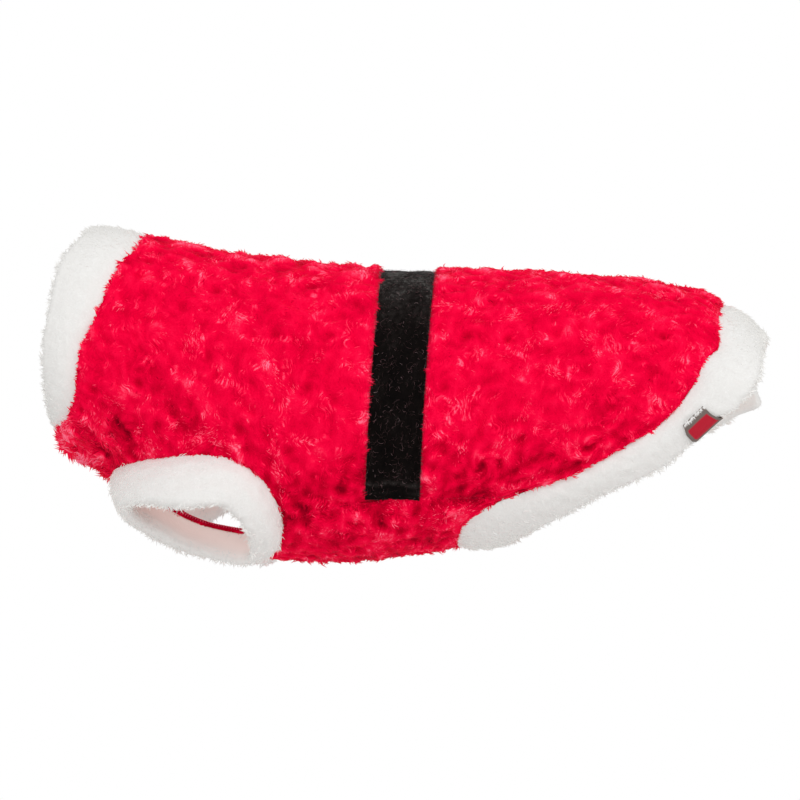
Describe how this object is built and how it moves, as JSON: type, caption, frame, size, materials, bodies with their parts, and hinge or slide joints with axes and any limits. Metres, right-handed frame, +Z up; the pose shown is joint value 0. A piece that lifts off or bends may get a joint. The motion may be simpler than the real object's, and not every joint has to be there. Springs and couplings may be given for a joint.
{
  "type": "dog santa coat",
  "caption": "Filled-out red plush coat for a small dog with white fur collar, hem and leg cuffs, a black velvet belt and a small woven tab.",
  "frame": {"origin": "on the inner face of the back panel, on the spine line under the middle of the belt, where the coat lies on the wearer's back", "axes": "+X from neck to tail, -Y to the wearer's left, +Z up out of the back"},
  "size_m": [0.373, 0.1262, 0.1758],
  "materials": {
    "rose_plush": "deep red rose-swirl plush, matt with a soft sheen",
    "white_fur": "short white fur, matt",
    "black_velvet": "black velvet with fine pale lint",
    "woven_tab": "grey-brown woven tape"
  },
  "bodies": {
    "root": {"back_panel": "rose_plush", "belly_panel": "rose_plush", "collar_trim": "white_fur", "hem_trim": "white_fur", "cuff_left": "white_fur", "cuff_right": "white_fur", "belt": "black_velvet", "label": "woven_tab"}
  },
  "joints": []
}
